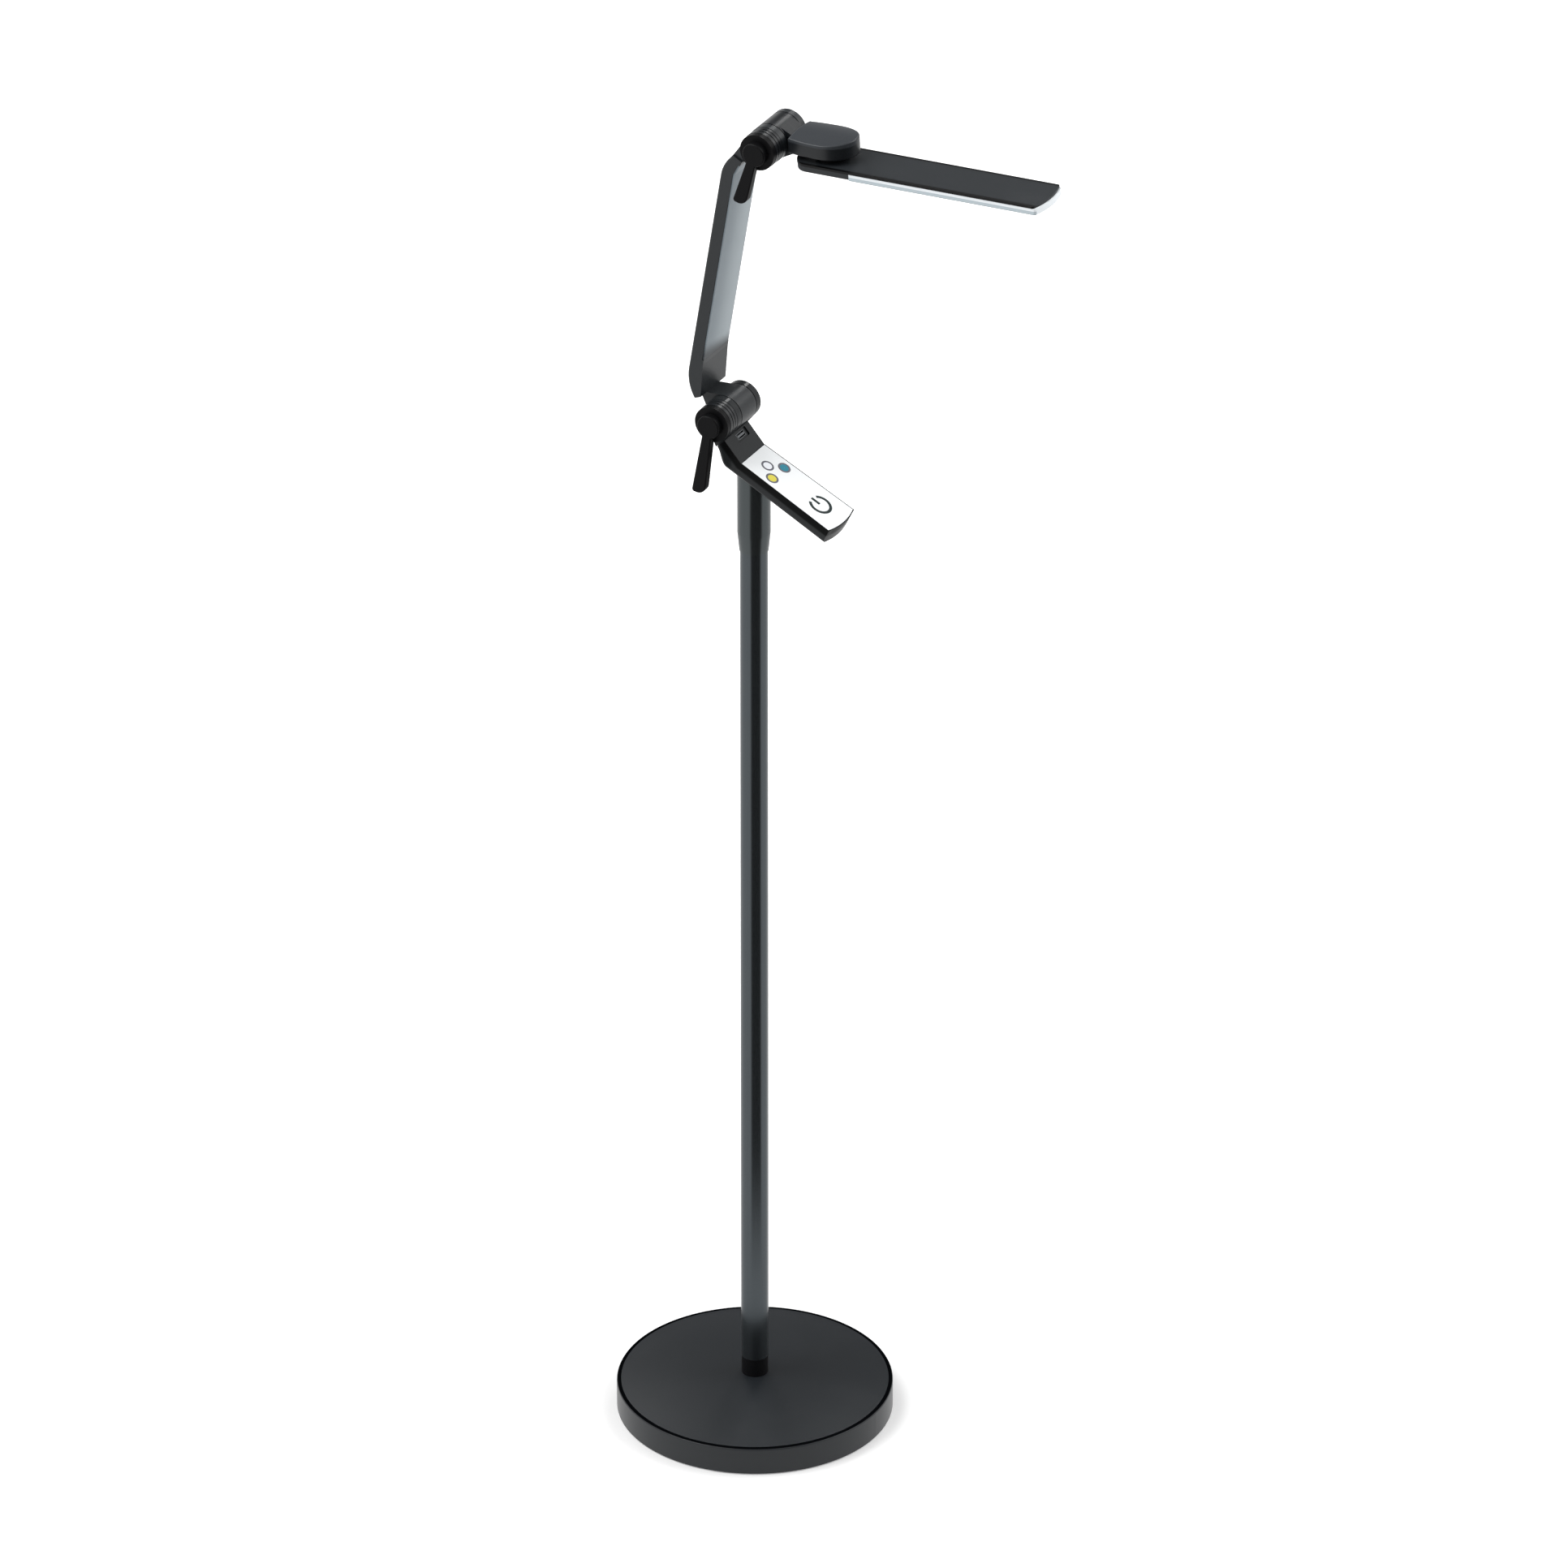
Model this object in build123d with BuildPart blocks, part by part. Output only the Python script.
"""LED task floor lamp: weighted base, pole, tilted touch control, two lever-locked elbows, flat head.

Millimetres. +Z is up, the origin is the centre of the base's underside, and the head points to +X.
Both elbow axes run along Y, with the clamp levers on the -Y side.
"""

import os
from math import cos, radians, sin, sqrt, tan

from build123d import *

os.makedirs("parts", exist_ok=True)

# ---------------------------------------------------------------- driving dimensions
# Base
base_radius = 128.0
rim_height = 27.0
crown_rise = 7.8
cover_wall = 2.0
cover_edge_radius = 1.5
cover_floor_gap = 1.0
foot_thickness = 2.0
foot_radius = 8.0
foot_margin = 18.0
foot_count = 6
plate_thickness = 1.5
plate_side_gap = 0.5
plate_port_radius = 16.0
centre_pad_lap = 4.0
weight_thickness = 14.0
weight_side_gap = 1.0
weight_edge_chamfer = 2.0
weight_boss_radius = 24.0
bolt_pocket_radius = 13.0
bolt_pocket_depth = 9.0
base_bolt_radius = 5.0
base_bolt_flats = 16.0
base_bolt_head = 6.4
base_bolt_grip = 24.0
base_washer_radius = 11.0
base_washer_thickness = 1.5
plate_screw_margin = 58.0
plate_screw_count = 3
plate_screw_radius = 2.0
plate_screw_head_radius = 3.6
plate_screw_head = 1.3
plate_screw_length = 10.0

# Pole
pole_radius = 12.7
pole_wall = 1.2
pole_length = 906.0
foot_collar_radius = 12.3
foot_collar_height = 18.0
foot_plug_length = 34.0
plug_chamfer = 0.5
top_plug_length = 26.0
top_plug_flange = 1.0

# Stem: a sleeve that turns on the pole's upper end
stem_cover_length = 60.0
stem_foot_radius = 13.4
stem_taper_length = 18.0
stem_radius = 15.2
stem_wall = 2.4
stem_web = 4.0
thrust_washer_radius = 11.0
thrust_washer_thickness = 1.5
swivel_screw_radius = 4.0
swivel_screw_head_radius = 7.0
swivel_screw_head = 3.5
swivel_socket_depth = 1.8
swivel_screw_grip = 18.0
spigot_wall = 3.4
stem_screw_radius = 2.0
stem_screw_drop = 4.0

# Control slab: measured along and square to its face, which tilts down to +X above the pole's end
face_tilt = 25.9
face_rise = 35.8
face_back = 1.8
face_length = 101.5
face_back_width = 43.4
face_front_width = 47.2
face_bow = 3.2
slab_thickness = 15.2
slab_back_run = 10.0
slab_edge_radius = 4.0
slab_wall = 2.0
panel_thickness = 1.6
panel_rim = 0.9
panel_ledge = 1.6
board_thickness = 1.6
board_drop = 3.4
board_side_gap = 0.6
post_radius = 3.0
post_inset = 5.0
board_screw_radius = 1.2
board_screw_head_radius = 2.2
board_screw_head = 1.2
board_screw_length = 6.0
key_pad_radius = 5.0
key_spots = ((17.7, 0.0), (29.3, 11.3), (29.3, -11.3), (77.4, 0.0))

# Sockets: one on the neck's front, one for power under the slab
port_recess_width = 20.0
port_recess_height = 8.8
port_recess_depth = 1.4
port_side = 3.8
port_up = 19.4
port_width = 13.2
port_height = 5.7
port_depth = 5.6
port_wall = 0.5
port_tongue_width = 11.0
port_tongue_thickness = 1.9
jack_station = 56.0
jack_radius = 5.4
jack_flange_radius = 6.8
jack_flange = 0.8
jack_bore_radius = 3.2
jack_pin_radius = 1.0
jack_end_wall = 1.0

# Neck from the slab up to the lower elbow
neck_front_angle = 48.5
neck_front_length = 24.6
neck_thickness = 12.6

# Elbows, both alike: stations count from the middle of the arm towards the lever
lower_elbow_setback = 22.0
lower_elbow_rise = 42.4
elbow_spacing = 287.0
arm_lean = 9.35
barrel_radius = 17.5
tongue_half_width = 13.0
cheek_gap = 1.0
cheek_width = 7.0
slot_gap = 1.3
collar_length = 12.0
collar_radius = 17.2
collar_rings = 3
collar_groove = 0.9
collar_groove_width = 1.0
cap_radius = 15.5
cap_rise = 3.4
cap_shoulder = 1.0
boss_length = 5.2
boss_radius = 17.0
hub_radius = 11.0
clamp_bolt_radius = 3.0
clamp_head_radius = 6.0
clamp_head = 3.0
clamp_end_gap = 3.0
lever_nut_flats = 10.0
lever_nut = 4.0
friction_washer_radius = 14.0
lower_lever_length = 69.5
lower_lever_lean = 8.5
upper_lever_length = 53.0
upper_lever_lean = 16.0
lever_top_width = 8.6
lever_foot_width = 13.6
lever_thickness = 7.0
lever_toe_radius = 8.4
lever_heel_radius = 2.8
lever_edge_radius = 1.2

# Arm, in its own frame: along the line between the elbows, and back from it
arm_width = 46.0
arm_front = 25.0
arm_depth = 13.8
arm_wall = 2.2
arm_edge_radius = 2.0
arm_cover_thickness = 1.6
arm_cover_start = 50.0
arm_cover_inset = 0.6
arm_lower_bend = 36.5
arm_tip_start = 8.4
arm_tip_back = 28.6
arm_tip_front = 22.1
arm_tip_slant = 3.9
arm_front_start = 45.0
arm_slot_end = 24.0
arm_upper_bend = 42.0
arm_back_upper_bend = 37.0
arm_upper_end = 17.0
arm_front_bend = 18.0
arm_back_bend = 31.0
arm_bend_radius = 34.0
arm_cover_tail = 12.0
arm_end_wall = 4.0
tongue_neck_half_width = 12.0
knuckle_insert_end = 42.0
ribbon_width = 12.0
ribbon_thickness = 1.0
arm_screw_radius = 1.6
arm_screw_head_radius = 3.0
arm_screw_head = 1.4
arm_screw_length = 7.0
arm_screw_side = 7.0
arm_screw_station = 37.5

# Bracket and head, in the head's frame: along the head, and up from the upper elbow
head_pitch = 3.6
head_drop = 10.2
swivel_reach = 54.8
block_start = 21.5
block_nose = 26.0
block_nose_depth = 29.0
block_half_width = 23.0
block_root_half_width = 19.6
block_height = 16.6
block_lid = 5.0
block_crown = 2.4
block_lid_radius = 1.4
block_wall = 2.2
block_edge_radius = 1.6
bracket_neck_half_width = 11.0
bracket_neck_drop = 9.0
bracket_neck_top = 8.5
bracket_gusset = 7.5
head_gap = 5.4
head_width = 50.0
head_back = 23.8
head_back_depth = 16.0
head_reach = 273.8
head_bow = 4.4
head_corner_radius = 2.5
head_cover_thickness = 2.0
head_body_depth = 5.6
head_body_inset = 0.3
head_body_front = 84.1
head_body_edge = 1.2
diffuser_depth = 6.6
diffuser_wall = 1.5
diffuser_tip = 1.5
led_board_thickness = 1.4
led_board_inset = 4.0
led_rows = 2
led_columns = 20
led_size = 3.0
led_height = 0.8
led_row_spacing = 18.0
swivel_pin_radius = 5.0
swivel_flange_radius = 9.0
swivel_flange = 2.5
swivel_pin_end = 1.0
swivel_collar_radius = 15.0
swivel_nut_radius = 8.0
swivel_nut_height = 4.0
swivel_washer_thickness = 1.0
head_screw_circle_radius = 17.5
head_screw_count = 3
head_screw_radius = 1.6
head_screw_head_radius = 2.8
head_screw_head = 1.4
head_screw_bite = 1.0

# Fits
slide_fit = 0.05
turn_fit = 0.08
turn_gap = 0.3
seat_gap = 0.1

# ---------------------------------------------------------------- frames and derived places
foot_circle_radius = base_radius - foot_margin
plate_screw_circle_radius = base_radius - plate_screw_margin
plate_top = foot_thickness + plate_thickness
crown_height = rim_height + crown_rise
tube_bore_radius = pole_radius - pole_wall
plug_radius = tube_bore_radius - slide_fit
pole_start = crown_height + foot_collar_height
pole_end = pole_start + pole_length
stem_start = pole_end - stem_cover_length
web_bottom = pole_end + top_plug_flange + thrust_washer_thickness + seat_gap
web_top = web_bottom + stem_web

face_dir = Vector(cos(radians(face_tilt)), 0, -sin(radians(face_tilt)))
face_normal = Vector(sin(radians(face_tilt)), 0, cos(radians(face_tilt)))
face_height = pole_end + face_rise
face_origin = Vector(0, 0, face_height) - face_dir * face_back
face_plane = Plane(origin=face_origin, x_dir=face_dir, z_dir=face_normal)
slab_floor = slab_thickness - slab_wall
board_top = board_drop
board_bottom = board_drop + board_thickness

neck_dir = Vector(-cos(radians(neck_front_angle)), 0, sin(radians(neck_front_angle)))
neck_normal = Vector(sin(radians(neck_front_angle)), 0, cos(radians(neck_front_angle)))
neck_front_plane = Plane(origin=face_origin, x_dir=(0, 1, 0), z_dir=neck_normal)
neck_top_front = face_origin + neck_dir * neck_front_length
neck_top_back = neck_top_front - neck_normal * neck_thickness

lower_elbow = Vector(-lower_elbow_setback, 0, face_height + lower_elbow_rise)
arm_dir = Vector(sin(radians(arm_lean)), 0, cos(radians(arm_lean)))
upper_elbow = lower_elbow + arm_dir * elbow_spacing
arm_plane = Plane(origin=lower_elbow, x_dir=arm_dir, z_dir=(0, -1, 0))
arm_back = arm_front + arm_depth
head_dir = Vector(cos(radians(head_pitch)), 0, sin(radians(head_pitch)))
head_normal = Vector(-sin(radians(head_pitch)), 0, cos(radians(head_pitch)))
head_plane = Plane(origin=upper_elbow, x_dir=head_dir, z_dir=head_normal)
head_side = Plane(origin=upper_elbow, x_dir=head_dir, z_dir=(0, -1, 0))

cheek_inner = tongue_half_width + cheek_gap
cheek_outer = cheek_inner + cheek_width
collar_end = cheek_outer + collar_length
boss_start = collar_end + turn_gap
hub_start = boss_start + boss_length
hub_end = hub_start + lever_thickness
slot_radius = barrel_radius + slot_gap
bolt_bore_radius = clamp_bolt_radius + slide_fit
bolt_end = hub_end - clamp_end_gap


def dome(span, rise, radius):
    """Height of a shallow dome over its edge, at a radius: span is its edge's radius."""
    sphere = (span**2 + rise**2) / (2 * rise)
    return rise - sphere + sqrt(sphere**2 - radius**2)


def crown(radius):
    """Height of the base's domed top at a radius from its centre."""
    return rim_height + dome(base_radius, crown_rise, radius)


def flat(point):
    """A point of the middle plane as a point of a sketch on Plane.XZ."""
    return (point.X, point.Z)


def on_face(along, up):
    """A point of the side view, counted along the slab's face from its back edge and up from it."""
    return flat(face_origin + face_dir * along + face_normal * up)


def save(piece, name):
    """Labels a finished piece and writes it as its own STEP file."""
    piece.part.label = name
    export_step(piece.part, f"parts/{name}.step")


# ================================================================ stand
# Base cover: a spun steel dome with an upright rim, open underneath.
with BuildPart() as base_cover:
    with BuildSketch(Plane.XZ) as cover_profile:
        with BuildLine():
            Polyline((0, crown_height), (0, cover_floor_gap), (base_radius, cover_floor_gap),
                     (base_radius, rim_height))
            ThreePointArc((base_radius, rim_height), (base_radius / 2, crown(base_radius / 2)),
                          (0, crown_height))
        make_face()
        fillet(cover_profile.vertices().group_by(Axis.X)[-1].sort_by(Axis.Y)[-1], radius=cover_edge_radius)
    revolve(axis=Axis.Z)
    offset(amount=-cover_wall, openings=base_cover.faces().sort_by(Axis.Z)[0])
    with Locations((0, 0, crown_height)):
        Hole(radius=base_bolt_radius + slide_fit, depth=crown_height)
save(base_cover, "base_cover")

# Base weight: a cast-iron disc whose centre boss carries the cover's crown.
weight_radius = base_radius - cover_wall - weight_side_gap
weight_top = plate_top + weight_thickness
weight_boss_top = crown(weight_boss_radius) - cover_wall - seat_gap
bolt_pocket_top = plate_top + bolt_pocket_depth
with BuildPart() as base_weight:
    with BuildSketch(Plane.XY.offset(plate_top)):
        Circle(weight_radius)
    extrude(amount=weight_thickness)
    chamfer(base_weight.faces().sort_by(Axis.Z)[-1].edges(), length=weight_edge_chamfer)
    with BuildSketch(Plane.XY.offset(weight_top)):
        Circle(weight_boss_radius)
    extrude(amount=weight_boss_top - weight_top)
    with BuildSketch(Plane.XY.offset(plate_top)):
        Circle(bolt_pocket_radius)
    extrude(amount=bolt_pocket_depth, mode=Mode.SUBTRACT)
    with Locations((0, 0, weight_boss_top)):
        Hole(radius=base_bolt_radius + slide_fit, depth=weight_boss_top)
    with BuildSketch(Plane.XY.offset(plate_top)):
        with PolarLocations(plate_screw_circle_radius, plate_screw_count):
            Circle(plate_screw_radius + slide_fit)
    extrude(amount=plate_screw_length, mode=Mode.SUBTRACT)
save(base_weight, "base_weight")

# Bottom plate: closes the base under the weight, with a port for the bolt.
with BuildPart() as bottom_plate:
    with BuildSketch(Plane.XY.offset(foot_thickness)):
        Circle(base_radius - cover_wall - plate_side_gap)
        Circle(plate_port_radius, mode=Mode.SUBTRACT)
        with PolarLocations(plate_screw_circle_radius, plate_screw_count):
            Circle(plate_screw_radius + slide_fit, mode=Mode.SUBTRACT)
    extrude(amount=plate_thickness)
save(bottom_plate, "bottom_plate")

# Foot pads: rubber discs stuck under the bottom plate, a wider one closing the base bolt's port.
with BuildPart() as foot_pads:
    with BuildSketch():
        Circle(plate_port_radius + centre_pad_lap)
        with PolarLocations(foot_circle_radius, foot_count):
            Circle(foot_radius)
    extrude(amount=foot_thickness)
save(foot_pads, "foot_pads")

# Plate screws: pan heads under the plate, shanks in the weight.
with BuildPart() as plate_screws:
    with BuildSketch(Plane.XY.offset(foot_thickness)):
        with PolarLocations(plate_screw_circle_radius, plate_screw_count):
            Circle(plate_screw_head_radius)
    extrude(amount=-plate_screw_head)
    with BuildSketch(Plane.XY.offset(foot_thickness)):
        with PolarLocations(plate_screw_circle_radius, plate_screw_count):
            Circle(plate_screw_radius)
    extrude(amount=plate_screw_length)
save(plate_screws, "plate_screws")

# Base bolt and washer: pull the pole's foot plug down onto the crown.
washer_bottom = bolt_pocket_top - base_washer_thickness
with BuildPart() as base_washer:
    with BuildSketch(Plane.XY.offset(washer_bottom)):
        Circle(base_washer_radius)
        Circle(base_bolt_radius + slide_fit, mode=Mode.SUBTRACT)
    extrude(amount=base_washer_thickness)
save(base_washer, "base_washer")

with BuildPart() as base_bolt:
    with BuildSketch(Plane.XY.offset(washer_bottom - base_bolt_head)):
        RegularPolygon(radius=base_bolt_flats / 2, side_count=6, major_radius=False)
    extrude(amount=base_bolt_head)
    with BuildSketch(Plane.XY.offset(washer_bottom)):
        Circle(base_bolt_radius)
    extrude(amount=pole_start + base_bolt_grip - washer_bottom)
save(base_bolt, "base_bolt")

# Foot collar: the narrow black spacer between the crown and the pole.
with BuildPart() as foot_collar:
    with BuildSketch(Plane.XY.offset(crown_height)):
        Circle(foot_collar_radius)
        Circle(base_bolt_radius + slide_fit, mode=Mode.SUBTRACT)
    extrude(amount=foot_collar_height)
save(foot_collar, "foot_collar")

# Foot plug: a steel slug in the pole's lower end, threaded for the base bolt.
with BuildPart() as foot_plug:
    with BuildSketch(Plane.XY.offset(pole_start)):
        Circle(plug_radius)
        Circle(base_bolt_radius + slide_fit, mode=Mode.SUBTRACT)
    extrude(amount=foot_plug_length)
    chamfer(foot_plug.faces().sort_by(Axis.Z)[-1].edges(), length=plug_chamfer)
save(foot_plug, "foot_plug")

# Pole: one length of steel tube.
with BuildPart() as pole_tube:
    with BuildSketch(Plane.XY.offset(pole_start)):
        Circle(pole_radius)
        Circle(tube_bore_radius, mode=Mode.SUBTRACT)
    extrude(amount=pole_length)
save(pole_tube, "pole_tube")

# Top plug: closes the pole's upper end and holds the swivel screw.
with BuildPart() as top_plug:
    with BuildSketch(Plane.XY.offset(pole_end)):
        Circle(plug_radius)
    extrude(amount=-top_plug_length)
    with BuildSketch(Plane.XY.offset(pole_end)):
        Circle(pole_radius)
    extrude(amount=top_plug_flange)
    with Locations((0, 0, pole_end + top_plug_flange)):
        Hole(radius=swivel_screw_radius + slide_fit, depth=top_plug_length + top_plug_flange)
save(top_plug, "top_plug")

# Thrust washer and swivel screw: carry the stem on the pole and keep it there.
with BuildPart() as thrust_washer:
    with BuildSketch(Plane.XY.offset(pole_end + top_plug_flange)):
        Circle(thrust_washer_radius)
        Circle(swivel_screw_radius + slide_fit, mode=Mode.SUBTRACT)
    extrude(amount=thrust_washer_thickness)
save(thrust_washer, "thrust_washer")

with BuildPart() as swivel_screw:
    with BuildSketch(Plane.XY.offset(pole_end - swivel_screw_grip)):
        Circle(swivel_screw_radius)
    extrude(amount=web_top + seat_gap - pole_end + swivel_screw_grip)
    with BuildSketch(Plane.XY.offset(web_top + seat_gap)):
        Circle(swivel_screw_head_radius)
    extrude(amount=swivel_screw_head)
    with BuildSketch(Plane.XY.offset(web_top + seat_gap + swivel_screw_head)):
        RegularPolygon(radius=swivel_screw_radius, side_count=6)
    extrude(amount=-swivel_socket_depth, mode=Mode.SUBTRACT)
save(swivel_screw, "swivel_screw")


# ================================================================ control body
# Stem: a sleeve that turns on the pole, with a web that rests on the thrust washer.
slab_underside = Plane(origin=face_origin - face_normal * slab_thickness, x_dir=face_dir, z_dir=face_normal)
stem_bore_radius = pole_radius + turn_fit
stem_socket_radius = stem_radius - stem_wall
spigot_bottom = web_top + swivel_screw_head + seat_gap
stem_screw_height = spigot_bottom + stem_screw_drop
with BuildPart() as stem:
    with BuildSketch(Plane.XZ):
        Polygon(
            (stem_bore_radius, stem_start),
            (stem_foot_radius, stem_start),
            (stem_radius, stem_start + stem_taper_length),
            (stem_radius, face_height),
            (stem_socket_radius, face_height),
            (stem_socket_radius, web_top),
            (swivel_screw_radius + turn_fit, web_top),
            (swivel_screw_radius + turn_fit, web_bottom),
            (stem_bore_radius, web_bottom),
            align=None,
        )
    revolve(axis=Axis.Z)
    split(bisect_by=slab_underside, keep=Keep.BOTTOM)
    with BuildSketch(Plane.YZ):
        with Locations((0, stem_screw_height)):
            Circle(stem_screw_radius + slide_fit)
    extrude(amount=-stem_radius, mode=Mode.SUBTRACT)
save(stem, "stem")


def face_outline(inset, back_edge):
    """The slab's face, its edges moved in by inset and its back edge at a given station."""
    flare = (face_front_width - face_back_width) / 2 / face_length
    back_half = face_back_width / 2 + flare * back_edge - inset
    front = face_length - inset
    front_half = face_front_width / 2 - inset
    with BuildSketch() as outline:
        with BuildLine():
            Polyline((front, front_half), (back_edge, back_half), (back_edge, -back_half),
                     (front, -front_half))
            ThreePointArc((front, -front_half), (front + face_bow, 0), (front, front_half))
        make_face()
    return outline.sketch


def elbow_fork(plane, centre, root):
    """Two cheeks round an elbow, hulled to a root segment, with the tongue's slot and the bolt's bore."""
    with BuildPart() as fork:
        with BuildSketch(plane):
            with BuildLine():
                CenterArc(centre, barrel_radius, 0, 360)
                Line(*root)
            make_hull()
        extrude(amount=cheek_outer, both=True)
        with BuildSketch(plane):
            with Locations(centre):
                Circle(slot_radius)
        extrude(amount=cheek_inner, both=True, mode=Mode.SUBTRACT)
        with BuildSketch(plane):
            with Locations(centre):
                Circle(bolt_bore_radius)
        extrude(amount=cheek_outer, both=True, mode=Mode.SUBTRACT)
        with BuildSketch(plane.offset(-cheek_outer)):
            with Locations(centre):
                Circle(clamp_head_radius + slide_fit)
        extrude(amount=clamp_head, mode=Mode.SUBTRACT)
    return fork.part


def elbow_tongue(plane, root, neck_half_width):
    """The barrel that turns between the cheeks, at the plane's origin, and its hulled neck."""
    with BuildPart() as tongue:
        with BuildSketch(plane):
            Circle(barrel_radius)
        extrude(amount=tongue_half_width, both=True)
        with BuildSketch(plane):
            with BuildLine():
                CenterArc((0, 0), barrel_radius, 0, 360)
                Line(*root)
            make_hull()
        extrude(amount=neck_half_width, both=True)
    return tongue.part


# Control housing: one moulding of slab, neck and lower fork, pocketed from above.
panel_inset = panel_rim
well_inset = panel_rim + panel_ledge
board_inset = well_inset + board_side_gap
post_spots = [
    (along, side * (face_back_width / 2 - board_inset - post_inset))
    for along in (board_inset + post_inset, face_length - board_inset - post_inset)
    for side in (-1, 1)
]
lower_fork = elbow_fork(Plane.XZ, flat(lower_elbow), (flat(neck_top_front), flat(neck_top_back)))
jack_place = (jack_station, 0)
port_place = (port_side, port_up)
face_axis = Axis(origin=(0, 0, 0), direction=face_normal)
with BuildPart() as control_housing:
    with BuildSketch(Plane.XZ):
        with BuildLine():
            Polyline(on_face(-slab_back_run, -slab_thickness),
                     on_face(face_length + face_bow, -slab_thickness), on_face(face_length + face_bow, 0),
                     flat(face_origin), flat(neck_top_front), flat(neck_top_back))
            Spline(flat(neck_top_back), on_face(-slab_back_run, -slab_thickness),
                   tangents=(flat(-neck_dir), flat(face_dir)))
        make_face()
    extrude(amount=face_front_width, both=True)
    with BuildSketch(face_plane):
        add(face_outline(0, 0))
        Rectangle(face_length, face_back_width, align=(Align.MAX, Align.CENTER))
    extrude(amount=face_length, both=True, mode=Mode.INTERSECT)
    underside = control_housing.faces().filter_by(face_axis).sort_by(face_axis)[0]
    bend = control_housing.faces().filter_by(GeomType.PLANE, reverse=True).sort_by(Axis.X)[0]
    long_edges = [edge for edge in underside.edges() + bend.edges() if abs(edge.center().Y) > post_inset]
    fillet(long_edges, radius=slab_edge_radius)
    add(lower_fork)
    with BuildSketch(face_plane):
        add(face_outline(panel_inset, panel_inset))
    extrude(amount=-panel_thickness, mode=Mode.SUBTRACT)
    with BuildSketch(face_plane):
        add(face_outline(well_inset, well_inset))
    extrude(amount=-slab_floor, mode=Mode.SUBTRACT)
    with BuildSketch(face_plane.offset(-slab_floor)):
        with Locations(*post_spots):
            Circle(post_radius)
    extrude(amount=slab_floor - board_bottom)
    with BuildSketch(face_plane.offset(-board_bottom)):
        with Locations(*post_spots):
            Circle(board_screw_radius)
    extrude(amount=-board_screw_length, mode=Mode.SUBTRACT)
    with BuildSketch(face_plane.offset(-slab_floor)):
        with Locations(jack_place):
            Circle(jack_radius + slide_fit)
    extrude(amount=-slab_wall, mode=Mode.SUBTRACT)
    with BuildSketch(Plane.XY.offset(spigot_bottom)):
        Circle(stem_socket_radius - slide_fit)
        Circle(stem_socket_radius - spigot_wall, mode=Mode.SUBTRACT)
    extrude(until=Until.NEXT)
    with BuildSketch(Plane.YZ):
        with Locations((0, stem_screw_height)):
            Circle(stem_screw_radius)
    extrude(amount=-stem_socket_radius, mode=Mode.SUBTRACT)
    with BuildSketch(neck_front_plane):
        with Locations(port_place):
            RectangleRounded(port_recess_width, port_recess_height, radius=port_recess_depth)
    extrude(amount=-port_recess_depth, mode=Mode.SUBTRACT)
    with BuildSketch(neck_front_plane):
        with Locations(port_place):
            Rectangle(port_width, port_height)
    extrude(amount=-port_recess_depth - port_depth, mode=Mode.SUBTRACT)
save(control_housing, "control_housing")

# Stem screw: a grub screw through the stem's back into the housing's spigot.
with BuildPart() as stem_screw:
    with BuildSketch(Plane.YZ.offset(-stem_radius)):
        with Locations((0, stem_screw_height)):
            Circle(stem_screw_radius)
    extrude(amount=spigot_wall + stem_wall - slide_fit)
save(stem_screw, "stem_screw")

# Touch panel: the white face, let into the housing's rim.
with BuildPart() as touch_panel:
    with BuildSketch(face_plane):
        add(face_outline(panel_inset + seat_gap, panel_inset + seat_gap))
    extrude(amount=-panel_thickness)
save(touch_panel, "touch_panel")

# Control board, its screws and the sprung pads that sense through the panel.
with BuildPart() as control_board:
    with BuildSketch(face_plane.offset(-board_top)):
        add(face_outline(board_inset, board_inset))
        with Locations(*post_spots):
            Circle(board_screw_radius + slide_fit, mode=Mode.SUBTRACT)
    extrude(amount=-board_thickness)
save(control_board, "control_board")

with BuildPart() as board_screws:
    with BuildSketch(face_plane.offset(-board_top)):
        with Locations(*post_spots):
            Circle(board_screw_head_radius)
    extrude(amount=board_screw_head)
    with BuildSketch(face_plane.offset(-board_top)):
        with Locations(*post_spots):
            Circle(board_screw_radius)
    extrude(amount=-board_thickness - board_screw_length + seat_gap)
save(board_screws, "board_screws")

with BuildPart() as key_pads:
    with BuildSketch(face_plane.offset(-board_top)):
        with Locations(*key_spots):
            Circle(key_pad_radius)
    extrude(amount=board_top - panel_thickness)
save(key_pads, "key_pads")

# Power jack: a barrel socket with its centre pin, under the slab.
jack_top = board_bottom + seat_gap
with BuildPart() as power_jack:
    with BuildSketch(face_plane.offset(-slab_thickness)):
        with Locations(jack_place):
            Circle(jack_flange_radius)
    extrude(amount=-jack_flange)
    with BuildSketch(face_plane.offset(-slab_thickness)):
        with Locations(jack_place):
            Circle(jack_radius)
    extrude(amount=slab_thickness - jack_top)
    with BuildSketch(face_plane.offset(-slab_thickness - jack_flange)):
        with Locations(jack_place):
            Circle(jack_bore_radius)
            Circle(jack_pin_radius, mode=Mode.SUBTRACT)
    extrude(amount=slab_thickness + jack_flange - jack_top - jack_end_wall, mode=Mode.SUBTRACT)
save(power_jack, "power_jack")

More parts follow.
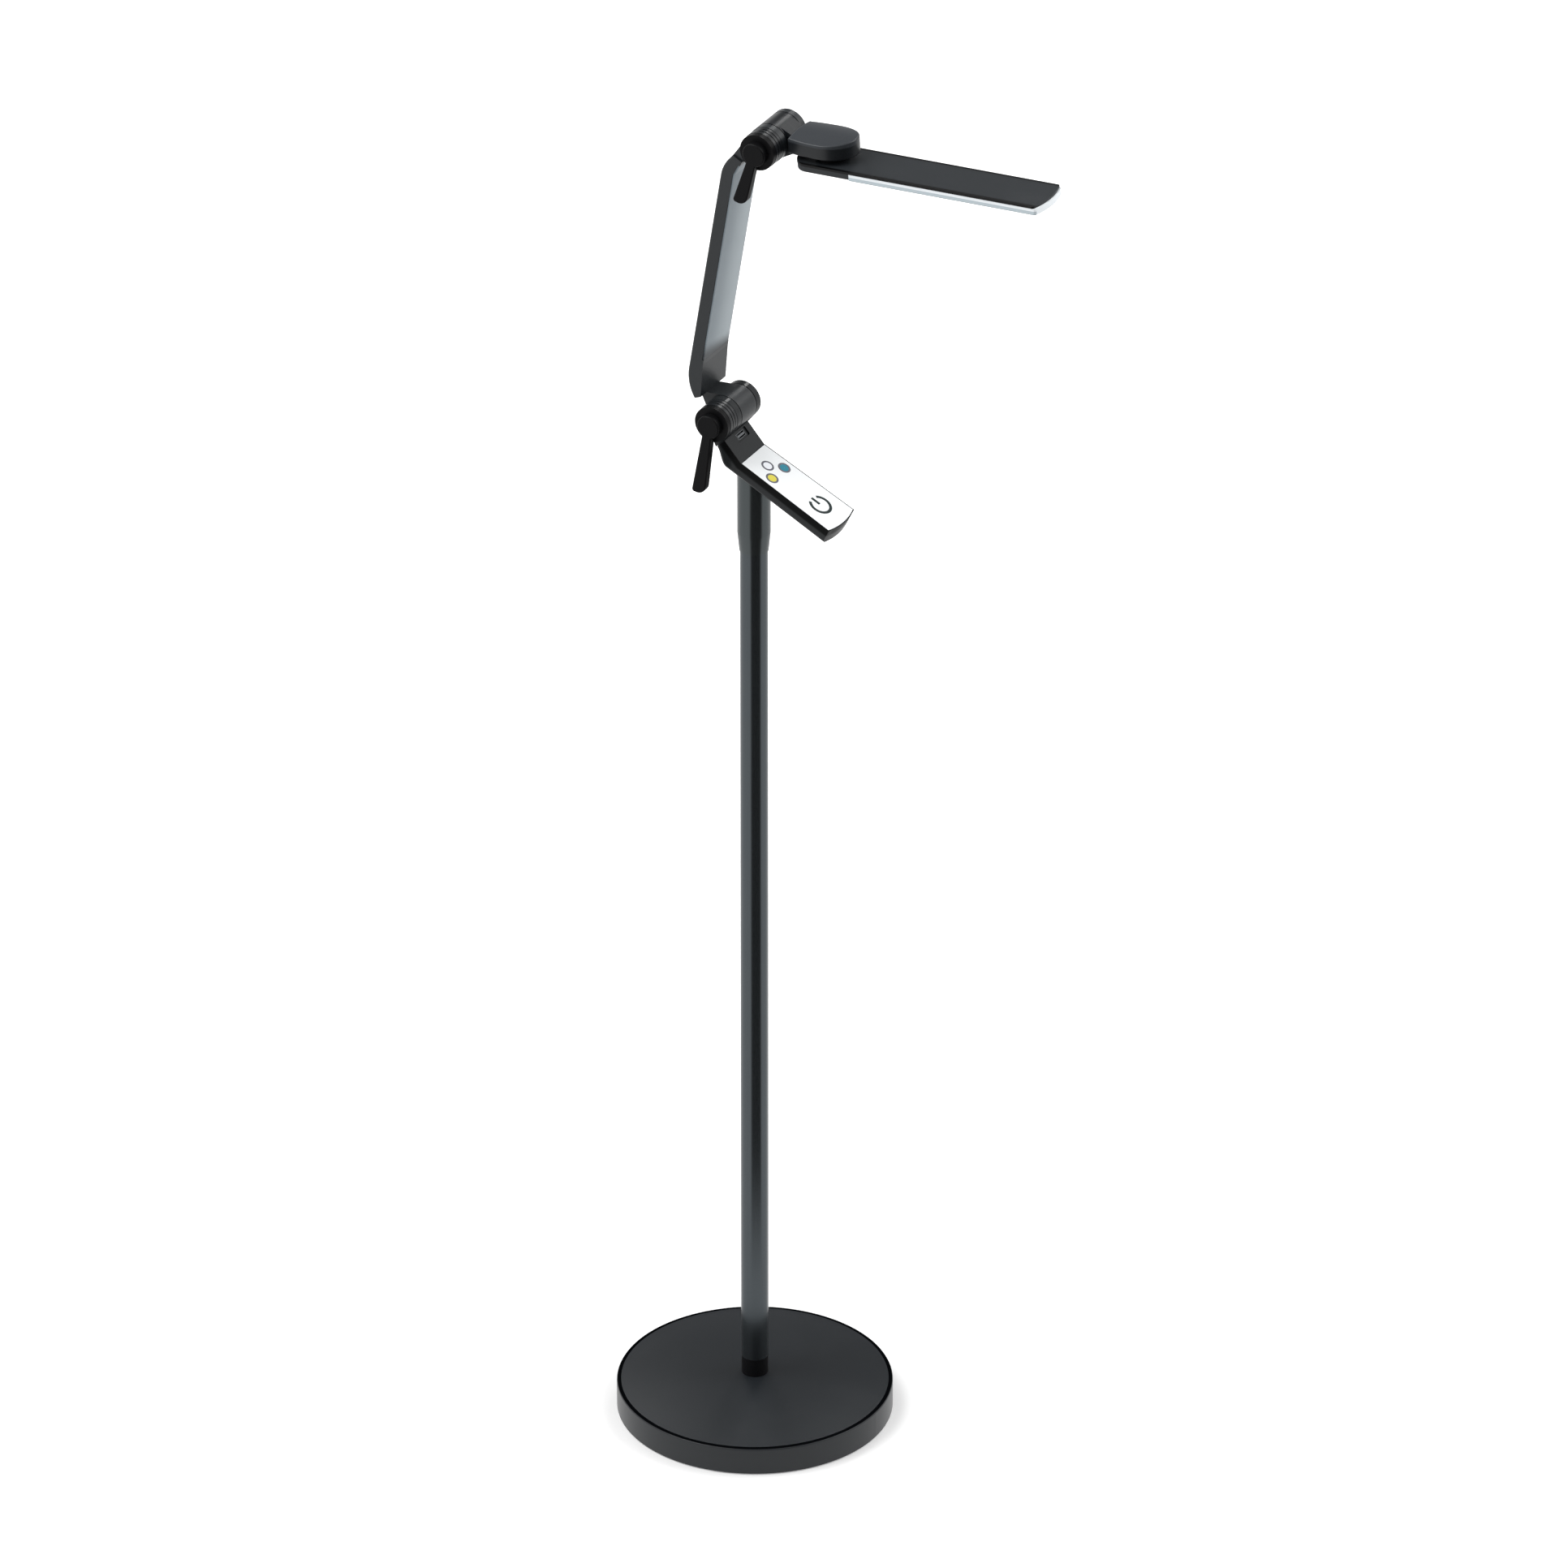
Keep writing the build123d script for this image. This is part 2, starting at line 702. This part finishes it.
# Charging port: a pressed shell with its contact tongue, in the neck's front recess.
with BuildPart() as charging_port:
    with BuildSketch(neck_front_plane.offset(-port_recess_depth)):
        with Locations(port_place):
            Rectangle(port_width - seat_gap, port_height - seat_gap)
            Rectangle(port_width - 2 * port_wall, port_height - 2 * port_wall, mode=Mode.SUBTRACT)
            Rectangle(port_tongue_width, port_tongue_thickness)
    extrude(amount=-port_depth)
    with BuildSketch(neck_front_plane.offset(-port_recess_depth - port_depth)):
        with Locations(port_place):
            Rectangle(port_width - seat_gap, port_height - seat_gap)
    extrude(amount=port_wall)
save(charging_port, "charging_port")


# ================================================================ elbows
def elbow_washers(elbow):
    """The two friction washers between tongue and cheeks."""
    thickness = cheek_gap - 2 * seat_gap
    with BuildPart() as washers:
        for station in (tongue_half_width + seat_gap, -cheek_inner + seat_gap):
            with BuildSketch(Plane.XZ.offset(station)):
                with Locations(flat(elbow)):
                    Circle(friction_washer_radius)
                    Circle(bolt_bore_radius, mode=Mode.SUBTRACT)
            extrude(amount=thickness)
    return washers


def elbow_collar(elbow):
    """The ringed spacer between the near cheek and the lever."""
    pitch = collar_length / collar_rings
    with BuildPart() as collar:
        with BuildSketch(Plane.XZ.offset(cheek_outer)):
            with Locations(flat(elbow)):
                Circle(collar_radius)
                Circle(bolt_bore_radius, mode=Mode.SUBTRACT)
        extrude(amount=collar_length)
        for ring in range(1, collar_rings):
            with BuildSketch(Plane.XZ.offset(cheek_outer + ring * pitch - collar_groove_width / 2)):
                with Locations(flat(elbow)):
                    Circle(collar_radius)
                    Circle(collar_radius - collar_groove, mode=Mode.SUBTRACT)
            extrude(amount=collar_groove_width, mode=Mode.SUBTRACT)
    return collar


def elbow_bolt(elbow):
    """The clamp bolt: head let into the far cheek, shank through to the lever."""
    with BuildPart() as bolt:
        with BuildSketch(Plane.XZ.offset(-cheek_outer)):
            with Locations(flat(elbow)):
                Circle(clamp_head_radius)
        extrude(amount=clamp_head)
        with BuildSketch(Plane.XZ.offset(-cheek_outer)):
            with Locations(flat(elbow)):
                Circle(clamp_bolt_radius)
        extrude(amount=cheek_outer + bolt_end)
    return bolt


def elbow_cap(elbow):
    """The domed cap over the bolt's head."""
    side = Plane(origin=elbow, x_dir=(0, 1, 0), z_dir=(1, 0, 0))
    edge = cheek_outer + cap_shoulder
    with BuildPart() as cap:
        with BuildSketch(side):
            with BuildLine():
                Polyline((edge + cap_rise, 0), (cheek_outer, 0), (cheek_outer, cap_radius),
                         (edge, cap_radius))
                ThreePointArc((edge, cap_radius), (edge + dome(cap_radius, cap_rise, cap_radius / 2),
                                                   cap_radius / 2), (edge + cap_rise, 0))
            make_face()
        revolve(axis=Axis(origin=elbow, direction=(0, 1, 0)))
    return cap


def clamp_lever(elbow, lean, length):
    """One moulding of boss, hub and blade, hanging with a backward lean."""
    blade_dir = (-sin(radians(lean)), 0, -cos(radians(lean)))
    blade_plane = Plane(origin=elbow, x_dir=blade_dir, z_dir=(0, -1, 0))
    with BuildPart() as lever:
        with BuildSketch(blade_plane.offset(boss_start)):
            Circle(boss_radius)
        extrude(amount=boss_length)
        with BuildSketch(blade_plane.offset(hub_start)) as blade:
            Polygon((0, -lever_top_width / 2), (length, -lever_foot_width / 2),
                    (length, lever_foot_width / 2), (0, lever_top_width / 2), align=None)
            fillet(blade.vertices().sort_by(Axis.Y)[0], radius=lever_heel_radius)
            fillet(blade.vertices().sort_by(Axis.Y)[-1], radius=lever_toe_radius)
            Circle(hub_radius)
        extrude(amount=lever_thickness)
        fillet(lever.faces().sort_by(Axis.Y)[0].edges(), radius=lever_edge_radius)
        with BuildSketch(blade_plane.offset(boss_start)):
            RegularPolygon(radius=lever_nut_flats / 2 + slide_fit, side_count=6, major_radius=False)
        extrude(amount=lever_nut, mode=Mode.SUBTRACT)
        with BuildSketch(blade_plane.offset(boss_start)):
            Circle(clamp_bolt_radius + turn_fit)
        extrude(amount=bolt_end + turn_gap - boss_start, mode=Mode.SUBTRACT)
    return lever


def lever_nut_on(elbow, lean):
    """The nut held in the lever's boss, that draws the bolt up."""
    blade_dir = (-sin(radians(lean)), 0, -cos(radians(lean)))
    blade_plane = Plane(origin=elbow, x_dir=blade_dir, z_dir=(0, -1, 0))
    with BuildPart() as nut:
        with BuildSketch(blade_plane.offset(boss_start)):
            RegularPolygon(radius=lever_nut_flats / 2, side_count=6, major_radius=False)
            Circle(clamp_bolt_radius + turn_fit, mode=Mode.SUBTRACT)
        extrude(amount=lever_nut)
    return nut


for level, elbow, lean, length in (
    ("lower", lower_elbow, lower_lever_lean, lower_lever_length),
    ("upper", upper_elbow, upper_lever_lean, upper_lever_length),
):
    save(elbow_washers(elbow), f"{level}_elbow_washers")
    save(elbow_collar(elbow), f"{level}_elbow_collar")
    save(elbow_bolt(elbow), f"{level}_clamp_bolt")
    save(elbow_cap(elbow), f"{level}_end_cap")
    save(clamp_lever(elbow, lean, length), f"{level}_lever")
    save(lever_nut_on(elbow, lean), f"{level}_lever_nut")


# ================================================================ arm
# Side view of the arm: straight, bent towards the elbow at each end, thinner at its lower tip.
tip_front = (arm_tip_start + arm_tip_slant, arm_tip_front)
tip_back = (arm_tip_start, arm_tip_back)
bend_front = (elbow_spacing - arm_upper_bend, arm_front)
bend_back = (elbow_spacing - arm_back_upper_bend, arm_back)
end_front = (bend_front[0] + arm_upper_end * cos(radians(arm_front_bend)),
             arm_front - arm_upper_end * sin(radians(arm_front_bend)))
end_back = (bend_back[0] + arm_upper_end * cos(radians(arm_back_bend)),
            arm_back - arm_upper_end * sin(radians(arm_back_bend)))
cover_fold = radians(arm_front_bend)
trough_end = bend_front[0] - arm_end_wall
slot_front = arm_tip_front + (arm_front - arm_tip_front) * (arm_slot_end - tip_front[0]) / (
    arm_front_start - tip_front[0])
well_front = arm_front + arm_cover_thickness
well_back = arm_back - arm_wall


def cover_side(gap):
    """The cover's side view, folded with the arm's front, with a gap left at each of its ends."""
    tail = arm_cover_tail - gap
    tip = (bend_front[0] + tail * cos(cover_fold), arm_front - tail * sin(cover_fold))
    tip_inside = (tip[0] + arm_cover_thickness * sin(cover_fold),
                  tip[1] + arm_cover_thickness * cos(cover_fold))
    fold_inside = (bend_front[0] + arm_cover_thickness * tan(cover_fold / 2), well_front)
    return [(arm_cover_start + gap, arm_front), bend_front, tip, tip_inside, fold_inside,
            (arm_cover_start + gap, well_front)]


upper_fork = elbow_fork(arm_plane, (elbow_spacing, 0), (end_front, end_back))
neck_profile = [tip_front, (arm_slot_end, slot_front), (knuckle_insert_end, well_front),
                (knuckle_insert_end, well_back), (arm_slot_end, well_back - arm_wall),
                (arm_tip_start, arm_tip_back - arm_wall)]
ribbon_start = knuckle_insert_end + arm_wall
back_origin = lower_elbow + arm_plane.y_dir * arm_back
arm_back_plane = Plane(origin=back_origin, x_dir=arm_dir, z_dir=arm_plane.y_dir)
arm_screw_spots = ((arm_screw_station, arm_screw_side), (arm_screw_station, -arm_screw_side))

# Arm shell: a trough, open to the front under its cover, with the upper fork on its end.
with BuildPart() as arm_shell:
    with BuildSketch(arm_plane) as arm_side:
        with BuildLine():
            Polyline(tip_back, tip_front, (arm_front_start, arm_front), bend_front, end_front, end_back,
                     bend_back, (arm_lower_bend, arm_back))
            TangentArc((arm_lower_bend, arm_back), tip_back, tangent=(-1, 0))
        make_face()
        fillet(arm_side.vertices().sort_by_distance(bend_back)[0], radius=arm_bend_radius)
    extrude(amount=arm_width / 2, both=True)
    fillet(arm_shell.edges().filter_by(Axis(origin=(0, 0, 0), direction=arm_dir)).sort_by(
        Axis(origin=(0, 0, 0), direction=arm_plane.y_dir))[-2:], radius=arm_edge_radius)
    add(upper_fork)
    with BuildSketch(arm_plane):
        Polygon(*cover_side(0), align=None)
    extrude(amount=arm_width, both=True, mode=Mode.SUBTRACT)
    with BuildSketch(arm_plane):
        Polygon((arm_slot_end, well_front), (trough_end, well_front), (trough_end, well_back),
                (arm_slot_end, well_back), align=None)
    extrude(amount=arm_width / 2 - arm_wall, both=True, mode=Mode.SUBTRACT)
    with BuildSketch(arm_plane):
        Polygon(*neck_profile, align=None)
    extrude(amount=tongue_neck_half_width + seat_gap, both=True, mode=Mode.SUBTRACT)
    with BuildSketch(arm_plane):
        Polygon((elbow_spacing, 0), end_front, (end_front[0], -barrel_radius),
                (elbow_spacing, -barrel_radius), align=None)
    extrude(amount=cheek_inner, both=True, mode=Mode.SUBTRACT)
    with BuildSketch(arm_back_plane):
        with Locations(*arm_screw_spots):
            Circle(arm_screw_radius + slide_fit)
    extrude(amount=-arm_screw_length, mode=Mode.SUBTRACT)
    with BuildSketch(arm_back_plane):
        with Locations(*arm_screw_spots):
            Circle(arm_screw_head_radius + slide_fit)
    extrude(amount=-arm_screw_head, mode=Mode.SUBTRACT)
save(arm_shell, "arm_shell")

# Lower knuckle: the arm's tongue in the lower elbow, its neck screwed into the trough.
lower_tongue = elbow_tongue(arm_plane, (tip_front, (arm_tip_start, arm_tip_back - arm_wall)),
                            tongue_neck_half_width)
with BuildPart() as arm_knuckle:
    with BuildSketch(arm_plane):
        Polygon(*neck_profile, align=None)
    extrude(amount=tongue_neck_half_width, both=True)
    add(lower_tongue)
    with BuildSketch(arm_plane):
        Circle(clamp_bolt_radius + turn_fit)
    extrude(amount=tongue_half_width, both=True, mode=Mode.SUBTRACT)
    with BuildSketch(arm_back_plane):
        with Locations(*arm_screw_spots):
            Circle(arm_screw_radius + slide_fit)
    extrude(amount=-arm_screw_length, mode=Mode.SUBTRACT)
save(arm_knuckle, "arm_knuckle")

# Arm screws: from the back of the trough into the knuckle's neck.
with BuildPart() as arm_screws:
    with BuildSketch(arm_back_plane):
        with Locations(*arm_screw_spots):
            Circle(arm_screw_head_radius)
    extrude(amount=-arm_screw_head)
    with BuildSketch(arm_back_plane.offset(-arm_screw_head)):
        with Locations(*arm_screw_spots):
            Circle(arm_screw_radius)
    extrude(amount=arm_screw_head - arm_screw_length)
save(arm_screws, "arm_screws")

# Arm cover: the silver-grey inner face, folded at its upper end.
with BuildPart() as arm_cover:
    with BuildSketch(arm_plane):
        Polygon(*cover_side(seat_gap), align=None)
    extrude(amount=arm_width / 2 - arm_cover_inset, both=True)
save(arm_cover, "arm_cover")

# Ribbon: the flat lead laid along the trough's back wall.
with BuildPart() as arm_ribbon:
    with BuildSketch(arm_plane):
        Polygon((ribbon_start, well_back), (trough_end - seat_gap, well_back),
                (trough_end - seat_gap, well_back - ribbon_thickness),
                (ribbon_start, well_back - ribbon_thickness), align=None)
    extrude(amount=ribbon_width / 2, both=True)
save(arm_ribbon, "arm_ribbon")


# ================================================================ bracket
def block_outline(inset):
    """The swivel block's oval plan, widest at the nose's root and square at its back, moved in."""
    half = block_half_width - inset
    root_half = block_root_half_width - inset
    nose_centre = swivel_reach + block_nose - block_nose_depth
    with BuildSketch() as outline:
        with BuildLine():
            Line((block_start + inset, root_half), (block_start + inset, -root_half))
            TangentArc((nose_centre, half), (block_start + inset, root_half), tangent=(-1, 0))
            TangentArc((nose_centre, -half), (block_start + inset, -root_half), tangent=(-1, 0))
            EllipticalCenterArc((nose_centre, 0), block_nose_depth - inset, half,
                                start_angle=-90, arc_size=180)
        make_face()
    return outline.sketch


block_bottom = head_gap - head_drop
block_top = block_bottom + block_height
lid_bottom = block_top - block_lid
swivel_place = (swivel_reach, 0)
bracket_root = ((block_start, -bracket_neck_drop), (block_start, bracket_neck_top))
bracket_tongue = elbow_tongue(head_side, bracket_root, bracket_neck_half_width)

# Bracket: the upper elbow's tongue and the swivel block's tray, one moulding.
with BuildPart() as bracket:
    with BuildSketch(head_plane.offset(block_bottom)):
        add(block_outline(0))
    extrude(amount=lid_bottom - block_bottom)
    fillet(bracket.faces().sort_by(Axis(origin=(0, 0, 0), direction=head_normal))[0].edges(),
           radius=block_edge_radius)
    with BuildSketch(head_plane.offset(lid_bottom)):
        add(block_outline(block_wall))
    extrude(amount=block_bottom + block_wall - lid_bottom, mode=Mode.SUBTRACT)
    add(bracket_tongue)
    with BuildSketch(head_side):
        Polygon((block_start, -bracket_neck_drop), (block_start + bracket_gusset, block_bottom),
                (block_start, block_bottom), align=None)
    extrude(amount=bracket_neck_half_width, both=True)
    with BuildSketch(head_side):
        Circle(clamp_bolt_radius + turn_fit)
    extrude(amount=tongue_half_width, both=True, mode=Mode.SUBTRACT)
    with BuildSketch(head_plane.offset(lid_bottom)):
        with Locations(swivel_place):
            Circle(swivel_pin_radius + turn_fit)
    extrude(amount=block_bottom - lid_bottom - block_wall, mode=Mode.SUBTRACT)
save(bracket, "bracket")

# Block lid: the crowned cover of the swivel block.
across_head = Plane(origin=upper_elbow, x_dir=(0, 1, 0), z_dir=head_dir)
with BuildPart() as block_lid_cover:
    with BuildSketch(head_plane.offset(lid_bottom)):
        add(block_outline(0))
    extrude(amount=block_top - lid_bottom)
    with BuildSketch(across_head):
        with BuildLine():
            Polyline((-block_half_width, block_top - block_crown), (-block_half_width, lid_bottom),
                     (block_half_width, lid_bottom), (block_half_width, block_top - block_crown))
            ThreePointArc((block_half_width, block_top - block_crown), (0, block_top),
                          (-block_half_width, block_top - block_crown))
        make_face()
    extrude(amount=swivel_reach + block_nose, mode=Mode.INTERSECT)
    fillet(block_lid_cover.faces().sort_by(Axis(origin=(0, 0, 0), direction=head_normal))[-1].edges(),
           radius=block_lid_radius)
save(block_lid_cover, "block_lid")

with BuildPart() as swivel_washer:
    with BuildSketch(head_plane.offset(block_bottom + block_wall)):
        with Locations(swivel_place):
            Circle(swivel_nut_radius)
            Circle(swivel_pin_radius + turn_fit, mode=Mode.SUBTRACT)
    extrude(amount=swivel_washer_thickness)
save(swivel_washer, "swivel_washer")


# ================================================================ head
def head_outline(start, inset, reach):
    """The head's plan from a station to its bowed tip, moved in by inset; from 0 it has the round rear."""
    half = head_width / 2 - inset
    corner = reach - head_bow
    back_centre = head_back + head_back_depth
    side_start = max(start, back_centre)
    with BuildSketch() as outline:
        with BuildLine():
            if start < back_centre:
                EllipticalCenterArc((back_centre, 0), head_back_depth - inset, half,
                                    start_angle=90, arc_size=180)
            else:
                Line((start, half), (start, -half))
            Line((side_start, -half), (corner, -half))
            ThreePointArc((corner, -half), (reach, 0), (corner, half))
            Line((corner, half), (side_start, half))
        make_face()
        fillet(outline.vertices().sort_by(Axis.X)[-2:], radius=head_corner_radius)
    return outline.sketch


cover_underside = -head_drop - head_cover_thickness
body_bottom = cover_underside - head_body_depth
board_underside = cover_underside - led_board_thickness
nut_bottom = block_bottom + block_wall + swivel_washer_thickness + seat_gap
pin_top = nut_bottom + swivel_nut_height + swivel_pin_end

# Head cover: the long flat plate, round at its rear and bowed at its tip.
with BuildPart() as head_cover:
    with BuildSketch(head_plane.offset(-head_drop)):
        add(head_outline(0, 0, head_reach))
    extrude(amount=-head_cover_thickness)
    with BuildSketch(head_plane.offset(-head_drop)):
        with Locations(swivel_place):
            Circle(swivel_pin_radius + slide_fit)
    extrude(amount=-head_cover_thickness, mode=Mode.SUBTRACT)
    with BuildSketch(head_plane.offset(cover_underside)):
        with Locations(swivel_place):
            with PolarLocations(head_screw_circle_radius, head_screw_count):
                Circle(head_screw_radius + slide_fit)
    extrude(amount=head_screw_bite, mode=Mode.SUBTRACT)
save(head_cover, "head_cover")

# Head body: the dark block under the rear end, let in for the swivel's flange and the screws.
with BuildPart() as head_body:
    with BuildSketch(head_plane.offset(cover_underside)):
        add(head_outline(0, head_body_inset, head_reach))
        with Locations((head_body_front, 0)):
            Rectangle(head_reach, head_width, align=(Align.MIN, Align.CENTER), mode=Mode.SUBTRACT)
    extrude(amount=-head_body_depth)
    fillet(head_body.faces().sort_by(Axis(origin=(0, 0, 0), direction=head_normal))[0].edges(),
           radius=head_body_edge)
    with BuildSketch(head_plane.offset(cover_underside)):
        with Locations(swivel_place):
            Circle(swivel_flange_radius + seat_gap)
    extrude(amount=-swivel_flange - seat_gap, mode=Mode.SUBTRACT)
    with BuildSketch(head_plane.offset(cover_underside)):
        with Locations(swivel_place):
            with PolarLocations(head_screw_circle_radius, head_screw_count):
                Circle(head_screw_radius + slide_fit)
    extrude(amount=-head_body_depth, mode=Mode.SUBTRACT)
    with BuildSketch(head_plane.offset(body_bottom)):
        with Locations(swivel_place):
            with PolarLocations(head_screw_circle_radius, head_screw_count):
                Circle(head_screw_head_radius + slide_fit)
    extrude(amount=head_screw_head, mode=Mode.SUBTRACT)
save(head_body, "head_body")

with BuildPart() as head_screws:
    with BuildSketch(head_plane.offset(body_bottom)):
        with Locations(swivel_place):
            with PolarLocations(head_screw_circle_radius, head_screw_count):
                Circle(head_screw_head_radius)
    extrude(amount=head_screw_head)
    with BuildSketch(head_plane.offset(body_bottom + head_screw_head)):
        with Locations(swivel_place):
            with PolarLocations(head_screw_circle_radius, head_screw_count):
                Circle(head_screw_radius)
    extrude(amount=head_body_depth - head_screw_head + head_screw_bite)
save(head_screws, "head_screws")

# Swivel pin, collar and nut: turn with the head in the block's floor.
with BuildPart() as swivel_pin:
    with BuildSketch(head_plane.offset(cover_underside)):
        with Locations(swivel_place):
            Circle(swivel_flange_radius)
    extrude(amount=-swivel_flange)
    with BuildSketch(head_plane.offset(cover_underside)):
        with Locations(swivel_place):
            Circle(swivel_pin_radius)
    extrude(amount=pin_top - cover_underside)
save(swivel_pin, "swivel_pin")

with BuildPart() as swivel_collar:
    with BuildSketch(head_plane.offset(-head_drop)):
        with Locations(swivel_place):
            Circle(swivel_collar_radius)
            Circle(swivel_pin_radius + slide_fit, mode=Mode.SUBTRACT)
    extrude(amount=head_gap - seat_gap)
save(swivel_collar, "swivel_collar")

with BuildPart() as swivel_nut:
    with BuildSketch(head_plane.offset(nut_bottom)):
        with Locations(swivel_place):
            RegularPolygon(radius=swivel_nut_radius, side_count=6)
            Circle(swivel_pin_radius + slide_fit, mode=Mode.SUBTRACT)
    extrude(amount=swivel_nut_height)
save(swivel_nut, "swivel_nut")

# Light strip: a board with two rows of diodes, behind a moulded diffuser.
with BuildPart() as led_board:
    with BuildSketch(head_plane.offset(cover_underside)):
        add(head_outline(head_body_front + led_board_inset, led_board_inset, head_reach - led_board_inset))
    extrude(amount=-led_board_thickness)
save(led_board, "led_board")

led_start = head_body_front + 2 * led_board_inset
led_end = head_reach - head_bow - 2 * led_board_inset
with BuildPart() as leds:
    with BuildSketch(head_plane.offset(board_underside)):
        with Locations(((led_start + led_end) / 2, 0)):
            with GridLocations((led_end - led_start) / led_columns, led_row_spacing, led_columns, led_rows):
                Rectangle(led_size, led_size)
    extrude(amount=-led_height)
save(leds, "leds")

with BuildPart() as diffuser:
    with BuildSketch(head_plane.offset(cover_underside)):
        add(head_outline(head_body_front, head_body_inset, head_reach + diffuser_tip))
    extrude(amount=-diffuser_depth)
    fillet(diffuser.faces().sort_by(Axis(origin=(0, 0, 0), direction=head_normal))[0].edges(),
           radius=head_body_edge)
    with BuildSketch(head_plane.offset(cover_underside)):
        add(head_outline(head_body_front + diffuser_wall, head_body_inset + diffuser_wall,
                         head_reach + diffuser_tip - diffuser_wall))
    extrude(amount=diffuser_wall - diffuser_depth, mode=Mode.SUBTRACT)
save(diffuser, "diffuser")
